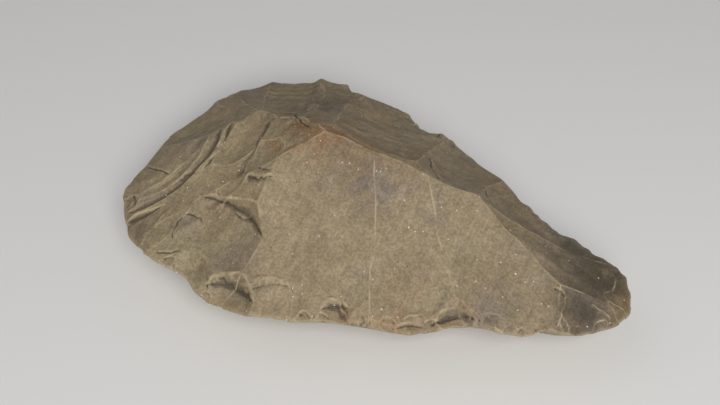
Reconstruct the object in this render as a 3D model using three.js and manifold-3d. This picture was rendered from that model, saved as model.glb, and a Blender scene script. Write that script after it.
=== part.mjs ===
// A flint hand axe, 150 mm long, lying on its plainer face: a pear-shaped piece of flint from which
// flakes have been struck all round, on both faces. Millimetres, +Z up, the tip towards +X. The
// origin is under the middle of the axe, on the level of the small flat that it rests on.
// The solid is made the way the tool was: a blank with the axe's outline, less one cutter for each
// flake. The face that a flake leaves runs from its strike point on the rim to the point where it
// ended, and is known by its width, its hollow and its tilt.

import * as THREE from 'three';
import { mergeVertices } from 'three/addons/utils/BufferGeometryUtils.js';
import Module from 'manifold-3d';

const rimHeight = 19; // the rim's mean level above the rest face
const blankTop = 30; // the blank's top above the rim, clear of the crest
const topShare = 0.5; // the blank's top and foot, as shares of its outline
const footShare = 0.68;
const samplesPerPoint = 4; // outline samples from one of its points to the next
const cellSize = 5; // grid of a cutter's curved face
const lead = 12; // a cutter starts this far outside the strike point
const clearance = 45; // a cutter's plain face is this far from the rim's level
const bendPast = 0.2; // a flake's bend is followed for this share of its length past its ends
const wallReach = 3; // a step or a side wall is followed for this far
const overrun = 0.6; // where no step ends it, a cutter runs on by this share of its flake's length
const hollowFrom = 0.6; // a flake's hollow is full from this share of its length
const rimShare = 0.8; // a strike point past this share of the outline is on the rim

// The outline from above, with the height of the wavy rim over its mean level: the tip, the near
// side, the butt and the far side.
const outlinePoints = [
  [75, 4, 0], [74.5, -1, -0.5], [72.5, -7, -0.5], [69, -11.5, 0], [63.5, -16, 0.5], [58, -18, 2],
  [50, -23.2, 0.5], [41, -24.5, 0], [34, -27.5, 1], [25.5, -33, -1], [10, -38.5, 0.5], [-1, -42, 0],
  [-12, -47, -1], [-21, -48.3, -0.5], [-32.5, -48, -1.5], [-41, -44.5, 0], [-50.5, -44, 1],
  [-62, -39.5, -0.5], [-68, -33.5, 0], [-73, -27.5, 1.5], [-74, -12.5, 0.5], [-75.5, 3.5, -1],
  [-73.5, 15, 0.5], [-67.5, 28.5, -1], [-62, 35.5, 0.5], [-53, 41.5, -1], [-43.5, 46.2, 1],
  [-37.5, 49.3, 2], [-32, 44.5, 0], [-18.5, 45, -1], [-12, 43.5, 0], [-2.5, 36.5, 1.5],
  [6.5, 40, 2], [10.5, 36.5, 0.5], [18, 32, -1], [28, 27.5, 0], [35, 22, 1], [40, 20.5, 0.5],
  [42.5, 19, -0.5], [50, 18, -1], [62, 13.5, 0], [71.5, 8.5, 1],
];

// Flakes of the upper face. Points are x, y and height, over the rim itself at a strike point on
// the rim and over its mean level elsewhere. Hollow is the depth across and sag the depth along;
// cant, in degrees, lifts the left side, seen from the strike point; bend shifts the middle to the
// left; reach is how far the cutter goes to each side.
const upperFlakes = [
  // the near side, from the middle to the tip
  { from: [0, -42, 0.4], to: [-15.5, 0, 23.2], width: 31, hollow: 1.1, sag: 0.6, cant: -2.5, reach: 27 },
  { from: [25.5, -33.5, 0.8], to: [4, 2.5, 20.6], width: 18.5, hollow: 0.8, sag: 0.4, cant: -3, reach: 15 },
  { from: [48, -23, 0.4], to: [27, 4, 15.7], width: 27, hollow: 1.1, sag: 0.4, cant: -5, reach: 21 },
  { from: [66, -13.5, 0.5], to: [57, -3, 7.8], width: 14, hollow: 0.6, sag: 0.2, reach: 13 },
  // one long flake struck back from the tip
  { from: [76, 1, 1.8], to: [28, 5, 15.6], width: 26, hollow: 0.4, sag: 2.8, cant: 12, reach: 18 },
  // the far side, from the tip to the peak
  { from: [45, 19.5, 0.4], to: [38, 1.5, 14.4], width: 28, hollow: 1.3, sag: 0.4, cant: -6, reach: 30 },
  { from: [15, 34, 0.3], to: [17, 4, 19], width: 15, hollow: 1, sag: 0.5, cant: -12, reach: 14 },
  { from: [-14, 44, 0.3], to: [-7, 7, 21.4], width: 28, hollow: 1.2, sag: 0.8, cant: -14, reach: 20 },
  { from: [-33, 46.5, 0.8], to: [-21, 5, 24.2], width: 20, hollow: 0.5, sag: 0.4, reach: 15 },
  // the narrow strip along the far side of the crest
  { from: [-24, 6, 23.2], to: [14, 4, 19], width: 8, hollow: 0.3, sag: -0.8, cant: -14, reach: 8 },
  // the far side, from the peak to the butt
  { from: [-52, 41, 0.3], to: [-38, 11, 17.5], width: 18, hollow: 1, sag: 0.6, reach: 14 },
  { from: [-64.5, 31, 0.3], to: [-48, 8, 16.5], width: 12, hollow: 0.7, sag: 0.4, reach: 11 },
  { from: [-70, 21, 0.3], to: [-54, 3, 13], width: 15, hollow: 0.8, sag: 0.4, cant: 12, reach: 17 },
  { from: [-74.5, 4, 0.3], to: [-62, -2, 8], width: 16, hollow: 0.6, sag: 0.3, reach: 17 },
  // long flakes up from the butt
  { from: [-72, -27, 0.3], to: [-52, 0, 13.6], width: 26, hollow: 0.6, sag: 0.2, cant: -19, reach: 17 },
  { from: [-65, -36, 0.6], to: [-53.5, 0, 13.2], width: 5.5, hollow: 0.5, cant: -10, bend: -2, reach: 8 },
  { from: [-48, -20, 11.2], to: [-47, 8, 16.2], width: 10, hollow: 1, cant: -4, reach: 12 },
  { from: [-61, -40, 0.9], to: [-43, -16, 12.8], width: 12, hollow: 1, sag: 0.2, cant: -4, reach: 10 },
  // ledges below the peak of the crest
  { from: [-38, -16, 16.2], to: [-33, 8, 21.1], width: 22, hollow: 0.2, cant: -15, reach: 18 },
  {
    from: [-31, -14, 17.2], to: [-36, -26, 9.8], width: 15, hollow: 0.4, cant: 8, reach: 13,
    endWall: 0.9, sideWall: 0.4,
  },
  // the near side by the butt; the first of these stops in a step
  { from: [-40, -47, 1.4], to: [-32, -24, 10.2], width: 25, hollow: 1.2, cant: -3, reach: 18, endWall: 2 },
  { from: [-54, -43, 0.9], to: [-45, -26, 8.8], width: 14, hollow: 0.8, sag: 0.3, cant: -6, reach: 12 },
];

// Small bites of the upper face at the rim, most of them stopping in a step.
const upperBites = [
  { from: [-37.5, -47.5, -0.2], to: [-43, -38, 4.6], width: 9, hollow: 1.6, sag: 0.6, reach: 9 },
  { from: [-23, -48, 0.3], to: [-25.5, -43.3, 1.4], width: 15, hollow: 0.5, endWall: 2.2, sideWall: 0.8 },
  { from: [-9, -46, 0.2], to: [-12.5, -37.5, 4], width: 11, hollow: 0.6, endWall: 1.2, sideWall: 0.8 },
  { from: [5, -41, -0.6], to: [1, -35.5, 2.2], width: 7, hollow: 0.8, endWall: 1.8, sideWall: 0.8 },
  { from: [24, -35.5, -0.9], to: [22, -31.3, 1], width: 9, hollow: 0.5, endWall: 2.4, sideWall: 0.8 },
  { from: [34, -28.5, -0.9], to: [31, -24.5, 1.2], width: 11, hollow: 0.4, endWall: 2.4, sideWall: 0.8 },
  { from: [-34, 47.5, 0], to: [-37.5, 41, 3.2], width: 7, hollow: 0.3, endWall: 0.8, sideWall: 0.8 },
  { from: [-60, -42, -1.6], to: [-56.5, -36.5, 3.6], width: 8, hollow: 0.6, endWall: 0.8, sideWall: 0.8 },
  { from: [-72, -32, -0.6], to: [-66.5, -29, 2.6], width: 6, hollow: 0.5, endWall: 1.2, sideWall: 0.8 },
  { from: [69, 10.5, -0.6], to: [66, 8, 1.4], width: 5, hollow: 0.4, endWall: 1.6, sideWall: 0.8 },
];

// Flakes of the lower face, once round the rim. Here heights are depths below the rim.
const lowerFlakes = [
  { from: [-4, -44, 0.9], to: [-4, -9.5, 19.9], width: 30, hollow: 1.5, sag: 1, reach: 27 },
  { from: [26, -34, 0.9], to: [10, -7, 19.9], width: 26, hollow: 1.3, sag: 0.6, cant: 3, reach: 18 },
  { from: [48, -23, 0.9], to: [38, -1, 16.4], width: 24, hollow: 1.2, sag: 0.6, reach: 20 },
  { from: [68, -13, 0.9], to: [59, 1, 9.4], width: 20, hollow: 1, sag: 0.4, reach: 16 },
  { from: [76, 3, 0.9], to: [40, 1, 15.4], width: 14, hollow: 0.8, sag: 0.6, reach: 12 },
  { from: [61, 13.5, 0.9], to: [55, 0, 10.4], width: 20, hollow: 1, sag: 0.4, reach: 16 },
  { from: [38, 22, 0.9], to: [30, 2, 18.4], width: 26, hollow: 1.3, sag: 0.6, reach: 24 },
  { from: [14, 33, 0.9], to: [5, 8, 20.1], width: 24, hollow: 1.4, sag: 0.8, cant: 3, reach: 18 },
  { from: [-14, 44, 0.9], to: [-9, 11, 19.9], width: 26, hollow: 1.6, sag: 0.8, reach: 20 },
  { from: [-42, 46, 0.9], to: [-22, 10.5, 20.1], width: 26, hollow: 1.4, sag: 0.6, reach: 20 },
  { from: [-65, 29, 0.9], to: [-32, 6, 19.9], width: 26, hollow: 1.6, sag: 0.8, reach: 16 },
  { from: [-75, 4, 0.9], to: [-36, 0, 19.9], width: 20, hollow: 1.2, sag: 0.6, reach: 13 },
  { from: [-74, -20, 0.9], to: [-36, -4, 20.1], width: 24, hollow: 1.4, sag: 0.8, reach: 18 },
  { from: [-60, -42, 0.9], to: [-30, -7.5, 19.9], width: 24, hollow: 1.6, sag: 0.6, reach: 15 },
  { from: [-32, -49, 0.9], to: [-18, -10, 20.1], width: 24, hollow: 1.4, sag: 0.8, reach: 18 },
];

const wasm = await Module();
wasm.setup();

// Closed geometry to a solid, and back.
function toSolid(geometry) {
  geometry.deleteAttribute('normal');
  geometry.deleteAttribute('uv');
  const merged = mergeVertices(geometry);
  const corners = merged.index.array;
  const kept = [];
  for (let i = 0; i < corners.length; i += 3) {
    const [a, b, c] = corners.slice(i, i + 3);
    if (a !== b && b !== c && c !== a) kept.push(a, b, c);
  }
  return new wasm.Manifold(new wasm.Mesh({
    numProp: 3,
    vertProperties: Float32Array.from(merged.attributes.position.array),
    triVerts: Uint32Array.from(kept),
  }));
}

function toGeometry(solid) {
  const mesh = solid.getMesh();
  const geometry = new THREE.BufferGeometry();
  geometry.setAttribute('position', new THREE.BufferAttribute(mesh.vertProperties, 3));
  geometry.setIndex(new THREE.BufferAttribute(mesh.triVerts, 1));
  return geometry.toNonIndexed();
}

const rimCurve = new THREE.CatmullRomCurve3(
  outlinePoints.map(([x, y, level]) => new THREE.Vector3(x, y, level)).reverse(),
  true,
  'centripetal',
);
const rimCount = outlinePoints.length * samplesPerPoint;
const rim = Array.from({ length: rimCount }, (_, i) => rimCurve.getPoint(i / rimCount));

// The rim's height over its mean level in the direction of a strike point, or 0 for one inside.
function rimLevel(x, y) {
  const direction = new THREE.Vector3(x, y, 0).normalize();
  const facing = (point) => (point.x * direction.x + point.y * direction.y) / Math.hypot(point.x, point.y);
  const nearest = rim.reduce((best, point) => (facing(point) > facing(best) ? point : best));
  return Math.hypot(x, y) > rimShare * Math.hypot(nearest.x, nearest.y) ? nearest.z : 0;
}

// The blank: rings of the outline, drawn in from the sharp rim to the rest face below and to a flat
// top above. It starts as a lathe shape whose rings then take the outline's form.
function makeBlank() {
  const rings = [
    { share: 0, height: -rimHeight },
    { share: footShare, height: -rimHeight },
    { share: 1, height: 0 },
    { share: topShare, height: blankTop },
    { share: 0, height: blankTop },
  ];
  const profile = rings.map((ring) => new THREE.Vector2(ring.share, ring.height));
  const geometry = new THREE.LatheGeometry(profile, rimCount);
  const position = geometry.attributes.position;
  for (let i = 0; i < position.count; i += 1) {
    const ring = rings[i % rings.length];
    const point = rim[Math.floor(i / rings.length) % rimCount];
    const height = ring.share === 1 ? point.z : ring.height;
    position.setXYZ(i, point.x * ring.share, point.y * ring.share, rimHeight + height);
  }
  return toSolid(geometry);
}

// How far the face that a flake leaves stands over its chord, at u along it and v to its left.
function relief(flake, length, u, v) {
  const { width, hollow = 0, sag = 0, bend = 0, endWall = 0, sideWall = 0 } = flake;
  const along = u / length;
  const inner = THREE.MathUtils.clamp(along, -bendPast, 1 + bendPast);
  const across = (2 * (v - bend * 4 * inner * (1 - inner))) / width;
  const dished = hollow * (across ** 2 - THREE.MathUtils.smoothstep(along, 0, hollowFrom));
  const sagged = along > 0 ? sag * ((2 * along - 1) ** 2 - 1) : 0;
  const stepped = endWall * Math.max(u - length, 0);
  const walled = sideWall * Math.max(Math.abs(v) - width / 2, 0);
  return dished + sagged + stepped + walled;
}

// A cutter: a box whose grid is laid along the flake and whose inner face is bent to the flake's
// face. Side is 1 on the upper face and -1 on the lower one.
function makeCutter(flake, side) {
  const [x, y, lift] = flake.from;
  const run = new THREE.Vector2(flake.to[0] - x, flake.to[1] - y);
  const length = run.length();
  run.normalize();
  const start = lift + side * rimLevel(x, y);
  const slant = Math.tan(THREE.MathUtils.degToRad(flake.cant ?? 0));
  const past = flake.endWall ? wallReach : length * overrun;
  const reach = flake.reach ?? flake.width / 2 + wallReach;
  const rows = Math.ceil((lead + length) / cellSize) + 1;
  const columns = 2 * Math.max(2, Math.ceil(reach / cellSize));
  const geometry = new THREE.BoxGeometry(rows, columns, 1, rows, columns, 1);
  const position = geometry.attributes.position;
  for (let i = 0; i < position.count; i += 1) {
    const row = Math.round(position.getX(i) + rows / 2);
    const u = row === rows ? length + past : ((length + lead) * row) / (rows - 1) - lead;
    const v = (position.getY(i) / columns) * 2 * reach;
    const chord = THREE.MathUtils.lerp(start, flake.to[2], u / length);
    const bent = side * (chord + relief(flake, length, u, v)) + slant * v;
    const height = position.getZ(i) * side < 0 ? bent : side * clearance;
    position.setXYZ(i, x + run.x * u - run.y * v, y + run.y * u + run.x * v, rimHeight + height);
  }
  return toSolid(geometry);
}

function makeHandAxe() {
  let stone = makeBlank();
  for (const flake of [...upperFlakes, ...upperBites]) {
    stone = stone.subtract(makeCutter(flake, 1));
  }
  for (const flake of lowerFlakes) {
    stone = stone.subtract(makeCutter(flake, -1));
  }
  return toGeometry(stone);
}

const flint = new THREE.MeshStandardMaterial({ color: 0x8f7e66, roughness: 0.6, metalness: 0 });

const handAxe = new THREE.Mesh(makeHandAxe(), flint);
handAxe.name = 'hand_axe';
handAxe.geometry.computeVertexNormals();

const group = new THREE.Group();
group.add(handAxe);

export default group;
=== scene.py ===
import math
import bmesh
import bpy
import numpy as np
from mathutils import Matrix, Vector


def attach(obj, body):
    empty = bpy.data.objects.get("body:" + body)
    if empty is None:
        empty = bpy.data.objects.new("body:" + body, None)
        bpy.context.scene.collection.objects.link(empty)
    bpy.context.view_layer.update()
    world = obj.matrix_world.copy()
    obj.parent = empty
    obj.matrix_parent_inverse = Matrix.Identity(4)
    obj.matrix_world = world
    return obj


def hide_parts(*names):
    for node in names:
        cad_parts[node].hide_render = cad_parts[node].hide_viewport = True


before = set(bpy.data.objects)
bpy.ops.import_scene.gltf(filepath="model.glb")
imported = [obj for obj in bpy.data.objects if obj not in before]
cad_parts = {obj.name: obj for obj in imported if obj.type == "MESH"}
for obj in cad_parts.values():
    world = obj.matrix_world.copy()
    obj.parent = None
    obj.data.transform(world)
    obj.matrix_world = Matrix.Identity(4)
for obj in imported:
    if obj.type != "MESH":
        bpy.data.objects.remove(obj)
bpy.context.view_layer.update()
mm = 0.001

# Flakes: start and end are x, y and height; a start on the rim is over the rim, all else is over
# the rim's mean level. Hollow is the depth across, sag the depth along, cant lifts the left side.
handAxe = dict(
    rimHeight=19.0,
    blankTop=30.0,
    blankShoulder=0.5,  # share of the outline where the blank's bevel reaches its top
    blankFoot=0.32,  # share of the outline that the blank's lower bevel takes
    lowerDrop=0.9,  # the lower flakes start this far under the rim
    edgeThickness=0.3,  # the worn rim is this thick
    ridgeRound=0.32,
    biteRound=0.35,
    bendPast=0.2,  # a bent flake keeps bending this share past its ends
    hollowReach=0.6,  # share of a flake's length where its hollow is full
    strikeBack=5,  # ripples spread from this far behind a flake's start
    hackleFan=(25, 12, 40),  # distance behind the start that the ribs fan from, its least, and their reach
    markTaper=0.35,  # a crack fades over this share of half its length
    endRound=0.12,  # a stepped end curves back by this share of the flake's width
    sheetCells=(700, 450),
    triangleLimit=194000,
    edgeSearch=dict(nearest=0.7, steps=120, halvings=12, turns=3600),
    keepTop=0.35,  # how much the upper face gives when the mesh is thinned
    keepRidge=0.03,  # and the ridges between its flakes
    ridgeFrom=0.2,  # nearness that counts as on a ridge
    ridgeWidth=0.15,  # the worn line along a ridge
    slopeStep=0.05,  # over which the slope between two flakes is measured
    leastSlope=0.02,  # flakes that meet flatter than this still get a narrow ridge
    outlineSteps=8,
    rimShare=0.8,  # a flake that starts past this share of the outline starts on the rim
    outline=[  # x, y and height of the rim's corners
        (75, 4, 0), (74.5, -1, -0.5), (72.5, -7, -0.5), (69, -11.5, 0), (63.5, -16, 0.5), (58, -18, 2),
        (50, -23.2, 0.5), (41, -24.5, 0), (34, -27.5, 1), (25.5, -33, -1), (10, -38.5, 0.5), (-1, -42, 0),
        (-12, -47, -1), (-21, -48.3, -0.5), (-32.5, -48, -1.5), (-41, -44.5, 0), (-50.5, -44, 1),
        (-62, -39.5, -0.5), (-68, -33.5, 0), (-73, -27.5, 1.5), (-74, -12.5, 0.5), (-75.5, 3.5, -1),
        (-73.5, 15, 0.5), (-67.5, 28.5, -1), (-62, 35.5, 0.5), (-53, 41.5, -1), (-43.5, 46.2, 1),
        (-37.5, 49.3, 2), (-32, 44.5, 0), (-18.5, 45, -1), (-12, 43.5, 0), (-2.5, 36.5, 1.5),
        (6.5, 40, 2), (10.5, 36.5, 0.5), (18, 32, -1), (28, 27.5, 0), (35, 22, 1), (40, 20.5, 0.5),
        (42.5, 19, -0.5), (50, 18, -1), (62, 13.5, 0), (71.5, 8.5, 1),
    ],
    upperFlakes=dict(
        nearLeft=dict(start=(0, -42, 0.4), end=(-15.5, 0, 23.2), width=31, hollow=1.1, sag=0.6,
                      cant=-2.5, ripple=(0.04, 7)),
        nearMiddle=dict(start=(25.5, -33.5, 0.8), end=(4, 2.5, 20.6), width=18.5, hollow=0.8,
                        sag=0.4, cant=-3),
        nearRight=dict(start=(48, -23, 0.4), end=(27, 4, 15.7), width=27, hollow=1.1, sag=0.4, cant=-5),
        tipNear=dict(start=(66, -13.5, 0.5), end=(57, -3, 7.8), width=14, hollow=0.6, sag=0.2),
        tipLong=dict(start=(76, 1, 1.8), end=(28, 5, 15.6), width=26, hollow=0.4, sag=2.8, cant=12,
                     flutes=[(3.5, 0.3, 1.3), (-1, -0.45, 2.2), (-6, 0.3, 1.5)], hackle=(0.1, 1.8)),
        farTip=dict(start=(45, 19.5, 0.4), end=(38, 1.5, 14.4), width=28, hollow=1.3, sag=0.4, cant=-6,
                    hackle=(0.14, 2.2)),
        farMiddle=dict(start=(15, 34, 0.3), end=(17, 4, 19), width=15, hollow=1, sag=0.5, cant=-12),
        farLarge=dict(start=(-14, 44, 0.3), end=(-7, 7, 21.4), width=28, hollow=1.2, sag=0.8,
                      cant=-14, ripple=(0.28, 6.5)),
        farPeak=dict(start=(-33, 46.5, 0.8), end=(-21, 5, 24.2), width=20, hollow=0.5, sag=0.4),
        crestStrip=dict(start=(-24, 6, 23.2), end=(14, 4, 19), width=8, hollow=0.3, sag=-0.8, cant=-14),
        buttFar=dict(start=(-52, 41, 0.3), end=(-38, 11, 17.5), width=18, hollow=1, sag=0.6,
                     ripple=(0.15, 5)),
        buttFarTwo=dict(start=(-64.5, 31, 0.3), end=(-48, 8, 16.5), width=12, hollow=0.7, sag=0.4),
        buttFarThree=dict(start=(-70, 21, 0.3), end=(-54, 3, 13), width=15, hollow=0.8, sag=0.4,
                          cant=12),
        buttLeft=dict(start=(-74.5, 4, 0.3), end=(-62, -2, 8), width=16, hollow=0.6, sag=0.3),
        buttLong=dict(start=(-72, -27, 0.3), end=(-52, 0, 13.6), width=26, hollow=0.6, sag=0.2,
                      cant=-19, rings="butt"),
        buttFlute=dict(start=(-65, -36, 0.6), end=(-53.5, 0, 13.2), width=5.5, hollow=0.5,
                       cant=-10, bend=-2, rings="butt"),
        troughTop=dict(start=(-48, -20, 11.2), end=(-47, 8, 16.2), width=10, hollow=1, cant=-4,
                       hackle=(0.08, 1.5)),
        troughFoot=dict(start=(-61, -40, 0.9), end=(-43, -16, 12.8), width=12, hollow=1, sag=0.2,
                        cant=-4),
        crestLedge=dict(start=(-38, -16, 16.2), end=(-33, 8, 21.1), width=22, hollow=0.2, cant=-15,
                        hackle=(0.22, 1.6)),
        midLedge=dict(start=(-31, -14, 17.2), end=(-36, -26, 9.8), width=15, hollow=0.4, cant=8,
                      endWall=0.9, sideWall=0.4),
        steppedFlake=dict(start=(-40, -47, 1.4), end=(-32, -24, 10.2), width=25, hollow=1.2,
                          cant=-3, endWall=1.3),
        lumpFlake=dict(start=(-54, -43, 0.9), end=(-45, -26, 8.8), width=14, hollow=0.8, sag=0.3,
                       cant=-6),
    ),
    upperBites=dict(
        scoop=dict(start=(-37.5, -47.5, -0.2), end=(-43, -38, 4.6), width=9, hollow=1.6, sag=0.6),
        hinge=dict(start=(-26, -48.3, 0.2), end=(-26.5, -42.5, 1.8), width=13, hollow=0.5,
                   endWall=1.5, sideWall=0.4),
        arc=dict(start=(-11, -46, 0.2), end=(-13.5, -37.5, 4.2), width=12, hollow=0.4, endWall=0.6,
                 sideWall=0.3),
        nick=dict(start=(5, -41, -0.3), end=(2, -36.5, 2), width=6, hollow=0.6, endWall=1.1,
                  sideWall=0.6),
        crush=dict(start=(24, -35.5, -0.6), end=(22.5, -31.8, 1), width=8, hollow=0.5, endWall=1.3,
                   sideWall=0.6),
        under=dict(start=(34, -28.5, -0.7), end=(31.5, -25, 1.1), width=7, hollow=0.4, endWall=1,
                   sideWall=0.4),
        peak=dict(start=(-34, 47.5, 0), end=(-37.5, 41, 3.2), width=7, hollow=0.3, endWall=0.8,
                  sideWall=0.8),
        dark=dict(start=(-60, -42, -1.6), end=(-56.5, -36.5, 3.6), width=8, hollow=0.6,
                  endWall=0.8, sideWall=0.8),
        left=dict(start=(-72, -32, -0.6), end=(-66.5, -29, 2.6), width=6, hollow=0.5, endWall=1.2,
                  sideWall=0.8),
        tipNick=dict(start=(69, 10.5, -0.6), end=(66, 8, 1.4), width=5, hollow=0.4, endWall=1.6,
                     sideWall=0.8),
    ),
    lowerFlakes=dict(
        nearMiddle=dict(start=(-4, -44, 0), end=(-4, -9.5, 19), width=30, hollow=1.5, sag=1),
        nearRight=dict(start=(26, -34, 0), end=(10, -7, 19), width=26, hollow=1.3, sag=0.6, cant=3),
        nearTip=dict(start=(48, -23, 0), end=(38, -1, 15.5), width=24, hollow=1.2, sag=0.6),
        tipNear=dict(start=(68, -13, 0), end=(59, 1, 8.5), width=20, hollow=1, sag=0.4),
        tipLong=dict(start=(76, 3, 0), end=(40, 1, 14.5), width=14, hollow=0.8, sag=0.6),
        tipFar=dict(start=(61, 13.5, 0), end=(55, 0, 9.5), width=20, hollow=1, sag=0.4),
        farTip=dict(start=(38, 22, 0), end=(30, 2, 17.5), width=26, hollow=1.3, sag=0.6),
        farMiddle=dict(start=(14, 33, 0), end=(5, 8, 19.2), width=24, hollow=1.4, sag=0.8, cant=3),
        farLarge=dict(start=(-14, 44, 0), end=(-9, 11, 19), width=26, hollow=1.6, sag=0.8),
        farPeak=dict(start=(-42, 46, 0), end=(-22, 10.5, 19.2), width=26, hollow=1.4, sag=0.6),
        buttFar=dict(start=(-65, 29, 0), end=(-32, 6, 19), width=26, hollow=1.6, sag=0.8),
        buttMiddle=dict(start=(-75, 4, 0), end=(-36, 0, 19), width=20, hollow=1.2, sag=0.6),
        buttNear=dict(start=(-74, -20, 0), end=(-36, -4, 19.2), width=24, hollow=1.4, sag=0.8),
        nearButt=dict(start=(-60, -42, 0), end=(-30, -7.5, 19), width=24, hollow=1.6, sag=0.6),
        nearLeft=dict(start=(-32, -49, 0), end=(-18, -10, 19.2), width=24, hollow=1.4, sag=0.8),
    ),
    chips=dict(count=120, seed=11, deep=0.5, width=(1.6, 5), length=(0.8, 2.6), lift=(-0.3, 0.2), rise=0.4,
               stray=0.5, hollow=0.06, endWall=1.2, sideWall=0.8, reach=3, fade=1.6),  # reach in widths
    warp=((9, 0.6), (3.5, 0.25), (1.3, 0.08)),  # cell and shift of what bends the flakes' edges
    swell=((11, 0.2), (4, 0.05), (1.6, 0.012)),  # cell and height of the faces' own unevenness
    rippleWander=(8, 0.5),  # cell and share of a ring's spacing
    rippleFade=(13, 0.4),  # cell and share of a ring's rise
    jag=(1.2, 0.3),  # cell and shift: how far a crack strays from its arc
    uneven=(2.3, 0.25),  # cell and share of a crack's depth
    layers=dict(upper=1, lower=13, upperSwell=9, lowerSwell=21, rippleWander=31, rippleFade=32, hackle=33,
                jag=51, uneven=52),  # which random layer each unevenness takes
    rings=dict(butt=dict(  # ripples of an old blow from the butt: radius, rise, inner and outer width
        middle=(-80, -8),
        bands=[(29.2, 0.95, 1.1, 0.5), (30.4, -0.6, 0.5, 1.0), (27.2, -0.7, 1.4, 0.7),
               (24.5, 0.5, 1.0, 0.5), (21.5, -0.4, 2.0, 1.6), (18, 0.35, 1.8, 1.2)],
    )),
    # Single cracks, ledges and ribs: left and right are the widths to each side, looking along turn.
    marks=dict(
        leftRidge=dict(middle=(-40, -19.5), turn=61, length=19, bow=-2, rise=0.3, left=0.7, right=0.35),
        leftSlack=dict(middle=(-41.5, -19), turn=61, length=18, bow=-2, rise=-0.25, left=1.6,
                       right=0.8),
        ribLeft=dict(middle=(-56, -12), turn=62, length=26, bow=-2.5, rise=-0.4, left=0.5, right=0.8),
        ribFoot=dict(middle=(-62.5, -29), turn=40, length=12, bow=-1, rise=0.3, left=0.7, right=0.4),
        fanEdge=dict(middle=(-56, -33), turn=75, length=14, bow=-0.5, rise=0.35, left=0.4, right=0.5),
        buttEdge=dict(middle=(-59, 6), turn=24, length=15, bow=0.6, rise=0.25, left=0.3, right=0.4),
        leftHinge=dict(middle=(-67, -16.5), turn=-10, length=12, rise=-0.35, left=0.25, right=0.3),
        leftLip=dict(middle=(-67, -15.8), turn=-10, length=13, rise=0.22, left=1.6, right=0.3),
        troughWall=dict(middle=(-40.5, -5), turn=92, length=25, bow=-2.4, rise=-0.8, left=1.7,
                        right=0.5),
        troughLip=dict(middle=(-39.6, -3), turn=90, length=22, bow=-2, rise=0.6, left=0.5, right=0.9),
        ledgeUpper=dict(middle=(-39, 12), turn=20, length=9, bow=-0.8, rise=-0.55, left=0.4, right=0.9),
        ledgeLower=dict(middle=(-35.5, 7), turn=3, length=10, bow=-0.8, rise=-0.5, left=0.4, right=0.9),
        notch=dict(middle=(-30, 8), turn=-45, length=15, bow=-1.5, rise=-0.65, left=0.35, right=0.35),
        notchLip=dict(middle=(-29.3, 8.8), turn=-45, length=14, bow=-1.5, rise=0.3, left=0.5,
                      right=0.3),
        peakRidge=dict(middle=(-39.5, 31), turn=-70, length=36, bow=1.6, rise=1.3, left=1.4, right=1.2),
        stripRidge=dict(middle=(-6.5, 10), turn=-14, length=22, bow=0.4, rise=0.3, left=0.5, right=0.5),
        farWall=dict(middle=(10.5, 11), turn=-57, length=15, bow=-0.8, rise=-0.45, left=0.3, right=1.1),
        farLip=dict(middle=(11.2, 11.6), turn=-57, length=15, bow=-0.8, rise=0.3, left=0.6, right=0.3),
        stepUpper=dict(middle=(-31, -12.5), turn=-8, length=6, rise=-0.5, left=0.4, right=0.7),
        stepMiddle=dict(middle=(-32, -15), turn=4, length=10, bow=-0.4, rise=-0.6, left=0.4, right=1.0),
        stepLip=dict(middle=(-32, -14.2), turn=4, length=10, bow=-0.4, rise=0.35, left=0.8, right=0.3),
        stepLower=dict(middle=(-32.5, -23.8), turn=-12, length=9, bow=-1.6, rise=-0.35, left=0.35,
                       right=0.9),
        softValley=dict(middle=(-41, -28), turn=-60, length=11, rise=-0.35, left=2.2, right=2.2),
        lump=dict(middle=(-46.5, -32), turn=40, length=9, rise=0.9, left=1.6, right=1.8),
        lumpCrack=dict(middle=(-48.5, -32.5), turn=100, length=7.5, bow=0.8, rise=-0.4, left=0.3,
                       right=0.3),
        lumpTop=dict(middle=(-46.5, -29), turn=-4, length=6.5, bow=0.8, rise=-0.4, left=0.3, right=0.3),
        lumpFoot=dict(middle=(-48, -39.5), turn=28, length=8.5, bow=-0.8, rise=-0.4, left=0.3,
                      right=0.35),
        scoopWall=dict(middle=(-35.5, -42), turn=-52, length=13, bow=2.2, rise=0.45, left=0.9,
                       right=0.35),
        roughHinge=dict(middle=(-25, -42), turn=-4, length=13, bow=-0.5, rise=-0.6, left=0.35,
                        right=0.6),
        roughLip=dict(middle=(-25.5, -40.9), turn=-4, length=12, bow=-0.5, rise=0.3, left=0.7,
                      right=0.3),
        arcLine=dict(middle=(-17, -38), turn=24, length=10, bow=0.7, rise=0.3, left=0.3, right=0.6),
        arcEnd=dict(middle=(-10, -39.5), turn=-54, length=9.5, bow=1, rise=0.3, left=0.3, right=0.6),
        nickRim=dict(middle=(3, -37), turn=-9, length=8, bow=1.8, rise=0.4, left=0.4, right=0.3),
        nickWall=dict(middle=(2.8, -37.9), turn=-9, length=7, bow=1.8, rise=-0.4, left=0.35, right=0.7),
        scratch=dict(middle=(6, -31.5), turn=-43, length=2.5, rise=0.2, left=0.22, right=0.22),
        scratchLong=dict(middle=(8.8, -34), turn=70, length=5.5, rise=0.22, left=0.22, right=0.22),
        hollowLip=dict(middle=(22.5, -30.2), turn=32, length=7, bow=0.6, rise=0.35, left=0.45,
                       right=0.3),
        hollow=dict(middle=(23.5, -31.5), turn=32, length=6, rise=-0.5, left=0.8, right=0.8),
        flapRidge=dict(middle=(27, -21), turn=-28, length=7, rise=0.4, left=0.35, right=0.35),
        flapHollow=dict(middle=(26, -23), turn=-35, length=6, rise=-0.35, left=0.9, right=1.1),
        flapLip=dict(middle=(29.5, -25.8), turn=46, length=9, bow=0.5, rise=0.3, left=0.5, right=0.3),
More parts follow.
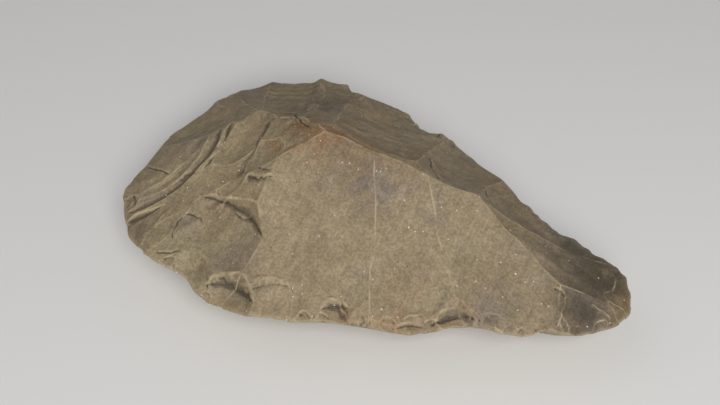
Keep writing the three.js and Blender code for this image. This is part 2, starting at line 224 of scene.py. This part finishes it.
        flapCrack=dict(middle=(30, -27), turn=46, length=9, rise=-0.7, left=0.35, right=0.5),
        tipCrack=dict(middle=(25.5, 12), turn=-55, length=6, rise=-0.5, left=0.4, right=0.3),
        tipLine=dict(middle=(29, 15), turn=65, length=13, rise=0.25, left=0.4, right=0.4),
        tipStep=dict(middle=(55, -8.3), turn=-13, length=4.5, rise=-0.55, left=0.3, right=0.6),
        tipWall=dict(middle=(57.3, -12.5), turn=-85, length=9, rise=0.4, left=0.4, right=0.3),
        tipDip=dict(middle=(56, -12.5), turn=-85, length=9, rise=-0.25, left=0.7, right=1.2),
        tipScratch=dict(middle=(67, -7), turn=-2, length=7, rise=0.3, left=0.35, right=0.35),
        tipRidge=dict(middle=(70, -3), turn=11, length=6, rise=0.5, left=0.45, right=0.45),
    ),
)


def smoothStep(value):
    value = np.clip(value, 0, 1)
    return value * value * (3 - 2 * value)


def smoothMin(first, second, radius):
    share = np.clip(0.5 + 0.5 * (second - first) / radius, 0, 1)
    return second + (first - second) * share - radius * share * (1 - share)


def closedCurve(points, steps):  # centripetal Catmull-Rom, as on the solid
    points = np.array(points, float)
    count = len(points)
    curve = []
    for i in range(count):
        p0, p1, p2, p3 = (points[(i + k) % count] for k in (-1, 0, 1, 2))
        t0 = 0
        t1 = t0 + np.linalg.norm(p1 - p0) ** 0.5
        t2 = t1 + np.linalg.norm(p2 - p1) ** 0.5
        t3 = t2 + np.linalg.norm(p3 - p2) ** 0.5
        for t in np.linspace(t1, t2, steps, endpoint=False):
            a1 = (t1 - t) / (t1 - t0) * p0 + (t - t0) / (t1 - t0) * p1
            a2 = (t2 - t) / (t2 - t1) * p1 + (t - t1) / (t2 - t1) * p2
            a3 = (t3 - t) / (t3 - t2) * p2 + (t - t2) / (t3 - t2) * p3
            b1 = (t2 - t) / (t2 - t0) * a1 + (t - t0) / (t2 - t0) * a2
            b2 = (t3 - t) / (t3 - t1) * a2 + (t - t1) / (t3 - t1) * a3
            curve.append((t2 - t) / (t2 - t1) * b1 + (t - t1) / (t2 - t1) * b2)
    return np.array(curve)


outlineCurve = closedCurve(handAxe["outline"], handAxe["outlineSteps"])
outlineTurn = np.arctan2(outlineCurve[:, 1], outlineCurve[:, 0])
outlineOrder = np.argsort(outlineTurn)
outlineTurn = outlineTurn[outlineOrder]
outlineReach = np.hypot(outlineCurve[:, 0], outlineCurve[:, 1])[outlineOrder]
outlineLevel = outlineCurve[outlineOrder, 2]


def aroundOutline(x, y, values):
    return np.interp(np.arctan2(y, x), outlineTurn, values, period=2 * math.pi)


latticeSize = 64


def roughField(x, y, cell, layer):  # smooth noise from -1 to 1
    lattice = np.random.default_rng(layer).uniform(-1, 1, (latticeSize, latticeSize))
    gridX, gridY = x / cell + latticeSize / 2, y / cell + latticeSize / 2
    column, row = np.floor(gridX).astype(int), np.floor(gridY).astype(int)
    partX, partY = smoothStep(gridX - column), smoothStep(gridY - row)
    column, row = column % latticeSize, row % latticeSize
    nextColumn, nextRow = (column + 1) % latticeSize, (row + 1) % latticeSize
    low = lattice[row, column] * (1 - partX) + lattice[row, nextColumn] * partX
    high = lattice[nextRow, column] * (1 - partX) + lattice[nextRow, nextColumn] * partX
    return low * (1 - partY) + high * partY


def layered(x, y, layers, seed):
    return sum(height * roughField(x, y, cell, seed + i) for i, (cell, height) in enumerate(layers))


def bent(x, y, layer):  # places shifted a little, so that edges aren't straight
    return x + layered(x, y, handAxe["warp"], layer), y + layered(x, y, handAxe["warp"], layer + 4)


def flakeFace(flake, x, y, side):  # the height that one flake leaves, sloping in from the rim
    startX, startY, startZ = flake["start"]
    endX, endY, endZ = flake["end"]
    if math.hypot(startX, startY) > handAxe["rimShare"] * aroundOutline(startX, startY, outlineReach):
        startZ = startZ + side * float(aroundOutline(startX, startY, outlineLevel))
    length = math.hypot(endX - startX, endY - startY)
    runX, runY = (endX - startX) / length, (endY - startY) / length
    u = (x - startX) * runX + (y - startY) * runY
    v = (y - startY) * runX - (x - startX) * runY
    along = u / length
    inner = np.clip(along, -handAxe["bendPast"], 1 + handAxe["bendPast"])
    across = 2 * (v - flake.get("bend", 0) * 4 * inner * (1 - inner)) / flake["width"]
    relief = flake["hollow"] * (across ** 2 - smoothStep(along / handAxe["hollowReach"]))
    relief = relief + flake.get("sag", 0) * ((2 * along - 1) ** 2 - 1) * (along > 0)
    rounded = handAxe["endRound"] * flake["width"] * across ** 2
    relief = relief + flake.get("endWall", 0) * np.maximum(u - length + rounded, 0)
    relief = relief + flake.get("sideWall", 0) * np.maximum(np.abs(v) - flake["width"] / 2, 0)
    if "ripple" in flake:  # rings round the strike point
        rise, spacing = flake["ripple"]
        wander, fade = handAxe["rippleWander"], handAxe["rippleFade"]
        phase = np.hypot(u + handAxe["strikeBack"], v) / spacing
        phase = phase + wander[1] * roughField(x, y, wander[0], handAxe["layers"]["rippleWander"])
        strength = 1 - fade[1] + fade[1] * roughField(x, y, fade[0], handAxe["layers"]["rippleFade"])
        relief = relief + rise * np.sin(2 * math.pi * phase) * strength
    if "hackle" in flake:  # fine ribs that fan out from the strike point
        rise, spacing = flake["hackle"]
        behind, least, reach = handAxe["hackleFan"]
        fan = reach * v / np.maximum(u + behind, least)
        relief = relief + rise * roughField(fan + 0.15 * u, 0.12 * u, spacing, handAxe["layers"]["hackle"])
    for place, rise, width in flake.get("flutes", []):
        relief = relief + rise * np.exp(-((v - place) / width) ** 2)
    if "rings" in flake:
        relief = relief + ringHeight(handAxe["rings"][flake["rings"]], x, y)
    chord = startZ + (endZ - startZ) * along
    slant = math.tan(math.radians(flake.get("cant", 0)))
    return side * (chord + relief) + slant * v


def markHeight(mark, x, y):
    turn = math.radians(mark["turn"])
    height = np.zeros_like(x)
    reach = mark["length"] / 2 + 3 * max(mark["left"], mark["right"]) + abs(mark.get("bow", 0))
    near = np.hypot(x - mark["middle"][0], y - mark["middle"][1]) < reach
    offX, offY = x[near] - mark["middle"][0], y[near] - mark["middle"][1]
    along = 2 * (offX * math.cos(turn) + offY * math.sin(turn)) / mark["length"]
    aside = offY * math.cos(turn) - offX * math.sin(turn) - mark.get("bow", 0) * (1 - along ** 2)
    cell, shift = handAxe["jag"]
    aside = aside + shift * roughField(x[near], y[near], cell, handAxe["layers"]["jag"])
    width = np.where(aside > 0, mark["left"], mark["right"])
    ends = smoothStep((1 - np.abs(along)) / handAxe["markTaper"])
    cell, change = handAxe["uneven"]
    strength = 1 - change + change * roughField(x[near], y[near], cell, handAxe["layers"]["uneven"])
    height[near] = mark["rise"] * strength * ends * np.exp(-(aside / width) ** 2)
    return height


def ringHeight(ring, x, y):
    distance = np.hypot(x - ring["middle"][0], y - ring["middle"][1])
    height = 0
    for radius, rise, inner, outer in ring["bands"]:
        aside = distance - radius
        height = height + rise * np.exp(-(aside / np.where(aside < 0, inner, outer)) ** 2)
    return height


def makeChips():  # small bites of use and retouch along the rim, on both faces
    settings = handAxe["chips"]
    draws = np.random.default_rng(settings["seed"])
    chips = []
    for _ in range(settings["count"]):
        spot = outlineCurve[draws.integers(len(outlineCurve))]
        inward = math.atan2(-spot[1], -spot[0]) + draws.uniform(-settings["stray"], settings["stray"])
        width, length = draws.uniform(*settings["width"]), draws.uniform(*settings["length"])
        lift = draws.uniform(*settings["lift"])
        end = (spot[0] + length * math.cos(inward), spot[1] + length * math.sin(inward))
        chips.append(dict(start=(spot[0], spot[1], lift), end=(*end, lift + settings["rise"] * length),
                          width=width, hollow=settings["hollow"] * width, endWall=settings["endWall"],
                          sideWall=settings["sideWall"], side=draws.choice((-1, 1))))
    return chips


rimChips = makeChips()


def cutChips(z, x, y, side):  # a chip goes no deeper than the setting, and fades away from the rim
    settings = handAxe["chips"]
    deep = settings["deep"]
    for chip in rimChips:
        if chip["side"] == side:
            away = np.hypot(x - chip["start"][0], y - chip["start"][1]) / chip["width"]
            near = away < settings["reach"]
            face = flakeFace(chip, x[near], y[near], side)
            cut = np.maximum(side * (z[near] - face), 0) * smoothStep(settings["fade"] - away[near])
            z[near] -= side * deep * (1 - np.exp(-cut / deep))
    return z


def insideRim(x, y):  # the rim's level, and how far out each place lies as a share of the outline
    return aroundOutline(x, y, outlineLevel), np.hypot(x, y) / aroundOutline(x, y, outlineReach)


def upperFace(x, y):
    level, share = insideRim(x, y)
    z = level + (handAxe["blankTop"] - level) * (1 - share) / handAxe["blankShoulder"]
    bentX, bentY = bent(x, y, handAxe["layers"]["upper"])
    for flake in handAxe["upperFlakes"].values():
        z = smoothMin(z, flakeFace(flake, bentX, bentY, 1), handAxe["ridgeRound"])
    for flake in handAxe["upperBites"].values():
        z = smoothMin(z, flakeFace(flake, bentX, bentY, 1), handAxe["biteRound"])
    for mark in handAxe["marks"].values():
        z = z + markHeight(mark, bentX, bentY)
    return cutChips(z + layered(x, y, handAxe["swell"], handAxe["layers"]["upperSwell"]), x, y, 1)


def lowerFace(x, y):
    level, share = insideRim(x, y)
    z = level - (handAxe["rimHeight"] + level) * (1 - share) / handAxe["blankFoot"]
    bentX, bentY = bent(x, y, handAxe["layers"]["lower"])
    for flake in handAxe["lowerFlakes"].values():
        face = flakeFace(flake, bentX, bentY, -1) - handAxe["lowerDrop"]
        z = -smoothMin(-z, -face, handAxe["ridgeRound"])
    z = cutChips(z + layered(x, y, handAxe["swell"], handAxe["layers"]["lowerSwell"]), x, y, -1)
    return np.maximum(z, -handAxe["rimHeight"])


def ridgeNearness(x, y, side):  # 1 on the ridges between the flakes of one face, 0 away from them
    flakes = handAxe["upperFlakes"] if side == 1 else handAxe["lowerFlakes"]
    layer = handAxe["layers"]["upper"] if side == 1 else handAxe["layers"]["lower"]

    def heights(x, y):
        bentX, bentY = bent(x, y, layer)
        return np.array([side * flakeFace(flake, bentX, bentY, side) for flake in flakes.values()])

    here = heights(x, y)
    pair = np.argpartition(here, 1, axis=0)[:2]  # the two flakes that cut deepest there

    def gap(faces):
        first, second = np.take_along_axis(faces, pair, 0)
        return second - first

    step = handAxe["slopeStep"]
    level = gap(here)
    slope = np.hypot(gap(heights(x + step, y)) - level, gap(heights(x, y + step)) - level) / step
    away = level / np.maximum(slope, handAxe["leastSlope"])
    return np.exp(-(away / handAxe["ridgeWidth"]) ** 2)


def findEdge(turns):  # how far the stone reaches at each turn about the middle
    limit = np.interp(turns, outlineTurn, outlineReach, period=2 * math.pi)

    def gap(reach):
        x, y = reach * np.cos(turns), reach * np.sin(turns)
        return upperFace(x, y) - lowerFace(x, y) - handAxe["edgeThickness"]

    search = handAxe["edgeSearch"]
    inside = search["nearest"] * limit
    outside = limit.copy()
    found = np.zeros(len(turns), bool)
    for share in np.linspace(search["nearest"], 1, search["steps"] + 1)[1:]:
        reach = limit * share
        thick = gap(reach) > 0
        inside = np.where(~found & thick, reach, inside)
        outside = np.where(~found & ~thick, reach, outside)
        found |= ~thick
    for _ in range(search["halvings"]):
        middle = (inside + outside) / 2
        thick = gap(middle) > 0
        inside = np.where(thick, middle, inside)
        outside = np.where(thick, outside, middle)
    return inside


def squareToDisc(a, b):  # radius and turn of a point of the square laid out on a disc
    wide = np.abs(a) >= np.abs(b)
    radius = np.where(wide, a, b)
    with np.errstate(divide="ignore", invalid="ignore"):
        turn = np.where(wide, math.pi / 4 * b / a, math.pi / 2 - math.pi / 4 * a / b)
    turn = np.where(radius == 0, 0, turn)
    return np.abs(radius), np.where(radius < 0, turn + math.pi, turn)


def addAttribute(mesh, name, values):
    attribute = mesh.attributes.new(name, "FLOAT", "POINT")
    attribute.data.foreach_set("value", values.astype(np.float32))


def readAttribute(mesh, name):
    values = np.zeros(len(mesh.vertices), np.float32)
    mesh.attributes[name].data.foreach_get("value", values)
    return values


def readPlaces(mesh):
    places = np.zeros(len(mesh.vertices) * 3)
    mesh.vertices.foreach_get("co", places)
    return places.reshape(-1, 3)


def makeSheets():  # an upper and a lower sheet of even cells, joined round the edge
    sheets = bmesh.new()
    level = sheets.verts.layers.float.new("sheet")
    across, down = handAxe["sheetCells"]
    for side in (1, -1):
        made = bmesh.ops.create_grid(sheets, x_segments=across, y_segments=down, size=1)["verts"]
        for vert in made:
            vert[level] = 0 if vert.is_boundary else side
        if side == -1:
            faces = {face for vert in made for face in vert.link_faces}
            bmesh.ops.reverse_faces(sheets, faces=list(faces))
    border = [vert for vert in sheets.verts if vert.is_boundary]
    bmesh.ops.remove_doubles(sheets, verts=border, dist=1e-5)
    mesh = bpy.data.meshes.new("hand_axe_stone")
    sheets.to_mesh(mesh)
    sheets.free()
    return mesh


def shapeSheets(mesh):
    flat = readPlaces(mesh)
    side = readAttribute(mesh, "sheet")
    radius, turn = squareToDisc(flat[:, 0], flat[:, 1])
    turns = np.linspace(-math.pi, math.pi, handAxe["edgeSearch"]["turns"], endpoint=False)
    edge = findEdge(turns)
    reach = radius * np.interp(turn, turns, edge, period=2 * math.pi)
    x, y = reach * np.cos(turn), reach * np.sin(turn)
    top, foot, rim = side > 0, side < 0, side == 0
    z = np.zeros(len(side))
    z[rim] = (upperFace(x[rim], y[rim]) + lowerFace(x[rim], y[rim])) / 2
    z[top] = upperFace(x[top], y[top])
    z[foot] = lowerFace(x[foot], y[foot])
    shaped = np.stack([x, y, z + handAxe["rimHeight"]], 1) * mm
    mesh.vertices.foreach_set("co", shaped.ravel())
    give = np.where(foot, 1.0, handAxe["keepTop"])  # how much each place may be thinned
    onRidge = ridgeNearness(x[top], y[top], 1) > handAxe["ridgeFrom"]
    give[np.flatnonzero(top)[onRidge]] = handAxe["keepRidge"]
    addAttribute(mesh, "give", give)
    mesh.update()


def thinOut(piece):
    triangles = 4 * handAxe["sheetCells"][0] * handAxe["sheetCells"][1]
    give = readAttribute(piece.data, "give")
    plain = piece.vertex_groups.new(name="plain")
    for share in np.unique(give):
        plain.add(np.flatnonzero(give == share).tolist(), float(share), "REPLACE")
    thinner = piece.modifiers.new("thin out", "DECIMATE")
    thinner.vertex_group = plain.name
    thinner.vertex_group_factor = 1
    thinner.ratio = handAxe["triangleLimit"] / triangles
    thinned = bpy.data.meshes.new_from_object(piece.evaluated_get(bpy.context.evaluated_depsgraph_get()))
    piece.modifiers.clear()
    old = piece.data
    piece.data = thinned
    bpy.data.meshes.remove(old)
    thinned.name = "hand_axe_stone"
    for name in ("sheet", "give"):
        thinned.attributes.remove(thinned.attributes[name])
    for face in thinned.polygons:
        face.use_smooth = True


# Patches are x, y, reach and strength. A noise has its scale in spots to the metre, its detail, the
# values low and high that it is spread between, and the least and most that it puts out.
stoneFinish = dict(
    tan=(157, 139, 109), brown=(146, 128, 99), olive=(146, 133, 103), grey=(130, 116, 102),
    # The dark colour is also laid into the stone's hollows as painted shade.
    rust=(144, 111, 78), dark=(66, 57, 46), wearAndHighlight=(196, 177, 142), speck=(216, 206, 184), pit=(100, 86, 68),
    # The pale worn colour is also laid on convex crests, partly as wear and partly as painted highlight.
    rimBand=1.1,  # thickness of the stone that still counts as its rim
    fineReach=0.45,  # relief is measured against a ring of this radius
    broadReach=1.8,
    ringSpots=6,
    relief=dict(  # mm over the ring
        # The two hollow settings give painted shade: the deeper a hollow lies under its ring, the darker it
        # is painted.
        fineHollowShade=dict(low=-0.01, high=-0.13, most=0.85),
        broadHollowShade=dict(low=-0.05, high=-0.6, most=0.6),
        # The crest setting paints convex crests lighter, partly as wear and partly as painted highlight.
        crestWearAndHighlight=dict(low=0.02, high=0.14, most=0.6),
    ),
    noises=dict(
        mottle=dict(scale=70, detail=6, low=0.38, high=0.62),
        cloud=dict(scale=32, detail=3, low=0.5, high=0.68, most=0.6),
        greyEdge=dict(scale=140, detail=6, low=0.36, high=0.6),
        greyCloud=dict(scale=50, detail=5, low=0.56, high=0.7, most=0.45),
        rustEdge=dict(scale=170, detail=8, low=0.38, high=0.62),
        rimRust=dict(scale=120, detail=6, low=0.5, high=0.6, most=0.7),
        darkEdge=dict(scale=110, detail=6, low=0.25, high=0.5),
        streak=dict(scale=1300, detail=3, stretch=(1, 0.1, 0.1), turn=12, low=0.3, high=0.7,
                    least=0.93, most=1.06),
        fleck=dict(scale=420, detail=5, low=0.3, high=0.7, least=0.88, most=1.1),
        fineGrain=dict(scale=1500, detail=3, low=0.32, high=0.68, least=0.82, most=1.16),
        wornBreaks=dict(scale=200, detail=6, low=0.38, high=0.6, least=0.12),
        gloss=dict(scale=300, detail=5, low=0.35, high=0.65, least=0.52, most=0.72),
        skin=dict(scale=2300, detail=3),
    ),
    spots=dict(
        pit=dict(scale=700, seed=0.3, share=0.06, size=0.2, softness=0.1),
        whiteSpeck=dict(scale=420, seed=0, share=0.02, size=0.15, softness=0.06),
        paleGrain=dict(scale=1000, seed=0.7, share=0.05, size=0.24, softness=0.1),
    ),
    ridgeWear=0.8,
    rimWear=0.45,
    wornGloss=-0.12,  # worn places and crests painted with highlight are this much less rough
    fleckHeight=0.6,
    skinHeight=0.4,
    pitHeight=-0.4,
    bumpStrength=0.35,
    bumpHeight=0.12,
    specular=0.4,
    patches=dict(
        rustPatch=[(-26, 2, 8, 0.9), (-19, 5, 7, 0.8), (-31, 1, 7, 0.8), (-8, 6, 8, 0.6), (3, 6, 8, 0.5),
                   (8, -38, 6, 0.4), (20, -34, 7, 0.5), (33, -27, 6, 0.5), (74, 1, 4, 1), (66, -14, 6, 0.5),
                   (-36, 9, 5, 0.7), (56, -16, 6, 0.5)],
        greyPatch=[(-4, -6, 7, 0.9), (5, -2, 6, 0.7), (18, -3, 5, 0.8), (41, -21, 8, 0.8),
                   (64, -11, 7, 0.8), (-58, -8, 8, 0.5), (52, 3, 12, 0.6), (-45, -30, 7, 0.5),
                   (-62, -28, 7, 0.5)],
        darkPatch=[(63, -10, 9, 0.8), (58, 8, 10, 0.65), (68, 5, 7, 0.55), (47, 12, 8, 0.4),
                   (-33, 20, 9, 0.45), (-27, 30, 9, 0.3), (-62, -38, 6, 0.6), (46, -21, 6, 0.3),
                   (-24, -43, 5, 0.3), (-30, 3, 6, 0.2), (-12, -3, 12, 0.15), (8, 12, 8, 0.15),
                   (31, 12, 9, 0.25), (-56, 24, 9, 0.15)],
    ),
)


def ringDip(face, x, y, radius):  # how far a spot stands over its surroundings
    turns = np.arange(stoneFinish["ringSpots"]) * 2 * math.pi / stoneFinish["ringSpots"]
    ring = [face(x + radius * math.cos(turn), y + radius * math.sin(turn)) for turn in turns]
    return face(x, y) - sum(ring) / len(ring)


def spotted(spots, x, y):  # how far each place lies within some patches
    return np.clip(sum(strength * np.exp(-((x - middleX) ** 2 + (y - middleY) ** 2) / reach ** 2)
                       for middleX, middleY, reach, strength in spots), 0, 1)


def writeRelief(mesh):  # what the finish needs to know of the shape, as attributes
    places = readPlaces(mesh)
    places[:, 2] = np.maximum(places[:, 2], 0)  # thinning can leave the foot a hair too low
    mesh.vertices.foreach_set("co", places.ravel())
    x, y, z = (places / mm).T
    z = z - handAxe["rimHeight"]
    above, below = upperFace(x, y), lowerFace(x, y)
    onTop = np.abs(z - above) < np.abs(z - below)
    fine, broad, ridge = np.zeros((3, len(x)))
    for part, face, side in ((onTop, upperFace, 1), (~onTop, lowerFace, -1)):
        fine[part] = side * ringDip(face, x[part], y[part], stoneFinish["fineReach"])
        broad[part] = side * ringDip(face, x[part], y[part], stoneFinish["broadReach"])
        ridge[part] = ridgeNearness(x[part], y[part], side)
    addAttribute(mesh, "fineRelief", fine)
    addAttribute(mesh, "broadRelief", broad)
    addAttribute(mesh, "ridge", ridge)
    addAttribute(mesh, "rim", np.exp(-((above - below) / stoneFinish["rimBand"]) ** 2))
    for name, spots in stoneFinish["patches"].items():
        addAttribute(mesh, name, np.where(onTop, spotted(spots, x, y), 0))


print("hand axe: sheets")
mesh = makeSheets()
print("hand axe: flakes")
shapeSheets(mesh)
axe = bpy.data.objects.new("hand_axe_stone", mesh)
bpy.context.scene.collection.objects.link(axe)
print("hand axe: thinning out")
thinOut(axe)
print("hand axe: relief of", len(axe.data.polygons), "triangles")
writeRelief(axe.data)


def paint(red, green, blue, alpha=1):  # screen values to the shader's
    def linear(value):
        value = value / 255
        return value / 12.92 if value < 0.04045 else ((value + 0.055) / 1.055) ** 2.4
    return (linear(red), linear(green), linear(blue), alpha)


stone = bpy.data.materials.new("weathered_flint")
stone.use_nodes = True
nodes, links = stone.node_tree.nodes, stone.node_tree.links
shader = nodes["Principled BSDF"]
place = nodes.new("ShaderNodeTexCoord").outputs["Object"]


def feed(socket, value):
    if isinstance(value, bpy.types.NodeSocket):
        links.new(value, socket)
    else:
        socket.default_value = value


def carried(name):  # an attribute of the mesh
    reader = nodes.new("ShaderNodeAttribute")
    reader.attribute_name = name
    return reader.outputs["Fac"]


def mapped(scale=(1, 1, 1), turn=0, shift=0):
    mapping = nodes.new("ShaderNodeMapping")
    feed(mapping.inputs["Vector"], place)
    mapping.inputs["Location"].default_value = (shift, 0, 0)
    mapping.inputs["Rotation"].default_value = (0, 0, math.radians(turn))
    mapping.inputs["Scale"].default_value = scale
    return mapping.outputs["Vector"]


def spread(value, low, high, least=0, most=1):
    span = nodes.new("ShaderNodeMapRange")
    span.interpolation_type = "SMOOTHSTEP"
    for name, amount in zip(("Value", "From Min", "From Max", "To Min", "To Max"),
                            (value, low, high, least, most)):
        feed(span.inputs[name], amount)
    return span.outputs["Result"]


def rawNoise(name):
    settings = stoneFinish["noises"][name]
    texture = nodes.new("ShaderNodeTexNoise")
    feed(texture.inputs["Vector"], mapped(settings.get("stretch", (1, 1, 1)), settings.get("turn", 0)))
    texture.inputs["Scale"].default_value = settings["scale"]
    texture.inputs["Detail"].default_value = settings["detail"]
    return texture.outputs["Fac"]


def noise(name):
    settings = stoneFinish["noises"][name]
    return spread(rawNoise(name), settings["low"], settings["high"], settings.get("least", 0),
                  settings.get("most", 1))


def relief(name, attribute):
    settings = stoneFinish["relief"][name]
    return spread(carried(attribute), settings["low"], settings["high"], 0, settings["most"])


def joined(first, second, how="MULTIPLY"):
    sums = nodes.new("ShaderNodeMath")
    sums.operation = how
    feed(sums.inputs[0], first)
    feed(sums.inputs[1], second)
    return sums.outputs["Value"]


def blend(amount, first, second, how="MIX"):
    mix = nodes.new("ShaderNodeMix")
    mix.data_type = "RGBA"
    mix.blend_type = how
    mix.clamp_factor = True
    feed(mix.inputs[0], amount)
    feed(mix.inputs[6], first)
    feed(mix.inputs[7], second)
    return mix.outputs[2]


def laidOver(colour, amount, name):  # one of the stone's colours over what is there
    return blend(amount, colour, paint(*stoneFinish[name]))


def scattered(name):  # small round spots in a share of the cells
    settings = stoneFinish["spots"][name]
    texture = nodes.new("ShaderNodeTexVoronoi")
    feed(texture.inputs["Vector"], mapped(shift=settings["seed"]))
    texture.inputs["Scale"].default_value = settings["scale"]
    cell = nodes.new("ShaderNodeSeparateColor")
    feed(cell.inputs["Color"], texture.outputs["Color"])
    dot = spread(texture.outputs["Distance"], settings["size"], settings["size"] - settings["softness"])
    return joined(dot, spread(cell.outputs["Red"], 1 - settings["share"], 1.01 - settings["share"]))


print("hand axe: finish")
colour = laidOver(paint(*stoneFinish["brown"]), noise("mottle"), "tan")
colour = laidOver(colour, noise("cloud"), "olive")
greyness = joined(joined(carried("greyPatch"), noise("greyEdge")), noise("greyCloud"), "MAXIMUM")
colour = laidOver(colour, greyness, "grey")
rimRust = joined(carried("rim"), noise("rimRust"))
rustiness = joined(joined(carried("rustPatch"), noise("rustEdge")), rimRust, "MAXIMUM")
colour = laidOver(colour, rustiness, "rust")
# Painted shade: the small and broad hollows are darkened with the dark colour, together with the stone's
# own dark patches.
paintedHollowShade = joined(relief("fineHollowShade", "fineRelief"), relief("broadHollowShade", "broadRelief"), "MAXIMUM")
darkPatchesAndHollowShade = joined(joined(carried("darkPatch"), noise("darkEdge")), paintedHollowShade, "MAXIMUM")
colour = laidOver(colour, darkPatchesAndHollowShade, "dark")
for name in ("streak", "fleck", "fineGrain"):
    colour = blend(1, colour, noise(name), "MULTIPLY")
ridgeWear = joined(carried("ridge"), stoneFinish["ridgeWear"])
rimWear = joined(carried("rim"), stoneFinish["rimWear"])
# Lighter on worn ridges and the worn rim, and on convex crests, where it is partly wear and partly painted
# highlight.
wearAndHighlight = joined(joined(relief("crestWearAndHighlight", "fineRelief"), ridgeWear, "MAXIMUM"), rimWear, "MAXIMUM")
wearAndHighlight = joined(wearAndHighlight, noise("wornBreaks"))
colour = laidOver(colour, wearAndHighlight, "wearAndHighlight")
colour = laidOver(colour, scattered("pit"), "pit")
colour = laidOver(colour, joined(scattered("whiteSpeck"), scattered("paleGrain"), "MAXIMUM"), "speck")
feed(shader.inputs["Base Color"], colour)
feed(shader.inputs["Roughness"], joined(noise("gloss"), joined(wearAndHighlight, stoneFinish["wornGloss"]), "ADD"))
shader.inputs["Specular IOR Level"].default_value = stoneFinish["specular"]
skin = joined(joined(rawNoise("fleck"), stoneFinish["fleckHeight"]),
              joined(rawNoise("skin"), stoneFinish["skinHeight"]), "ADD")
skin = joined(skin, joined(scattered("pit"), stoneFinish["pitHeight"]), "ADD")
bump = nodes.new("ShaderNodeBump")
bump.inputs["Strength"].default_value = stoneFinish["bumpStrength"]
bump.inputs["Distance"].default_value = stoneFinish["bumpHeight"] * mm
feed(bump.inputs["Height"], skin)
feed(shader.inputs["Normal"], bump.outputs["Normal"])
axe.data.materials.clear()
axe.data.materials.append(stone)
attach(axe, "root")
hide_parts("hand_axe")


studioFloor = dict(size=3.0, colour=(232, 230, 226), roughness=0.9)
print("floor")
floorShape = bmesh.new()
bmesh.ops.create_grid(floorShape, x_segments=1, y_segments=1, size=studioFloor["size"] / 2)
floorMesh = bpy.data.meshes.new("studio_floor")
floorShape.to_mesh(floorMesh)
floorShape.free()
floor = bpy.data.objects.new("studio_floor", floorMesh)
bpy.context.scene.collection.objects.link(floor)
floorPaint = bpy.data.materials.new("floor_paint")
floorPaint.use_nodes = True
floorShader = floorPaint.node_tree.nodes["Principled BSDF"]
floorShader.inputs["Base Color"].default_value = paint(*studioFloor["colour"])
floorShader.inputs["Roughness"].default_value = studioFloor["roughness"]
floorMesh.materials.append(floorPaint)


studioLight = dict(  # turns and rises in degrees, distances and sizes in metres
    key=dict(turn=35, rise=46, distance=0.9, size=0.5, power=6.2),
    fill=dict(turn=-60, rise=60, distance=1.2, size=1.0, power=1.1),
    surround=(0.9, 0.93, 1.0),
    surroundPower=0.2,
)
viewCamera = dict(turn=26, rise=48, distance=295.4, aim=(-8.8, 2.0, 19.0), lens=50, nearest=0.01)


def away(turn, rise):
    turn, rise = math.radians(turn), math.radians(rise)
    return np.array([math.sin(turn) * math.cos(rise), -math.cos(turn) * math.cos(rise), math.sin(rise)])


def aimAt(thing, place, target):
    thing.location = place
    thing.rotation_euler = (Vector(target) - Vector(place)).to_track_quat("-Z", "Y").to_euler()


print("light and camera")
middle = (0, 0, handAxe["rimHeight"] * mm)
for name in ("key", "fill"):
    settings = studioLight[name]
    lamp = bpy.data.lights.new(name, "AREA")
    lamp.energy = settings["power"]
    lamp.size = settings["size"]
    lampObject = bpy.data.objects.new(name, lamp)
    bpy.context.scene.collection.objects.link(lampObject)
    aimAt(lampObject, away(settings["turn"], settings["rise"]) * settings["distance"], middle)
world = bpy.data.worlds.new("studio")
world.use_nodes = True
world.node_tree.nodes["Background"].inputs["Color"].default_value = (*studioLight["surround"], 1)
world.node_tree.nodes["Background"].inputs["Strength"].default_value = studioLight["surroundPower"]
bpy.context.scene.world = world

lens = bpy.data.cameras.new("camera")
lens.lens = viewCamera["lens"]
lens.clip_start = viewCamera["nearest"]
camera = bpy.data.objects.new("camera", lens)
bpy.context.scene.collection.objects.link(camera)
aim = np.array(viewCamera["aim"]) * mm
aimAt(camera, aim + away(viewCamera["turn"], viewCamera["rise"]) * viewCamera["distance"] * mm, aim)
bpy.context.scene.camera = camera
bpy.context.scene.view_settings.view_transform = "Standard"
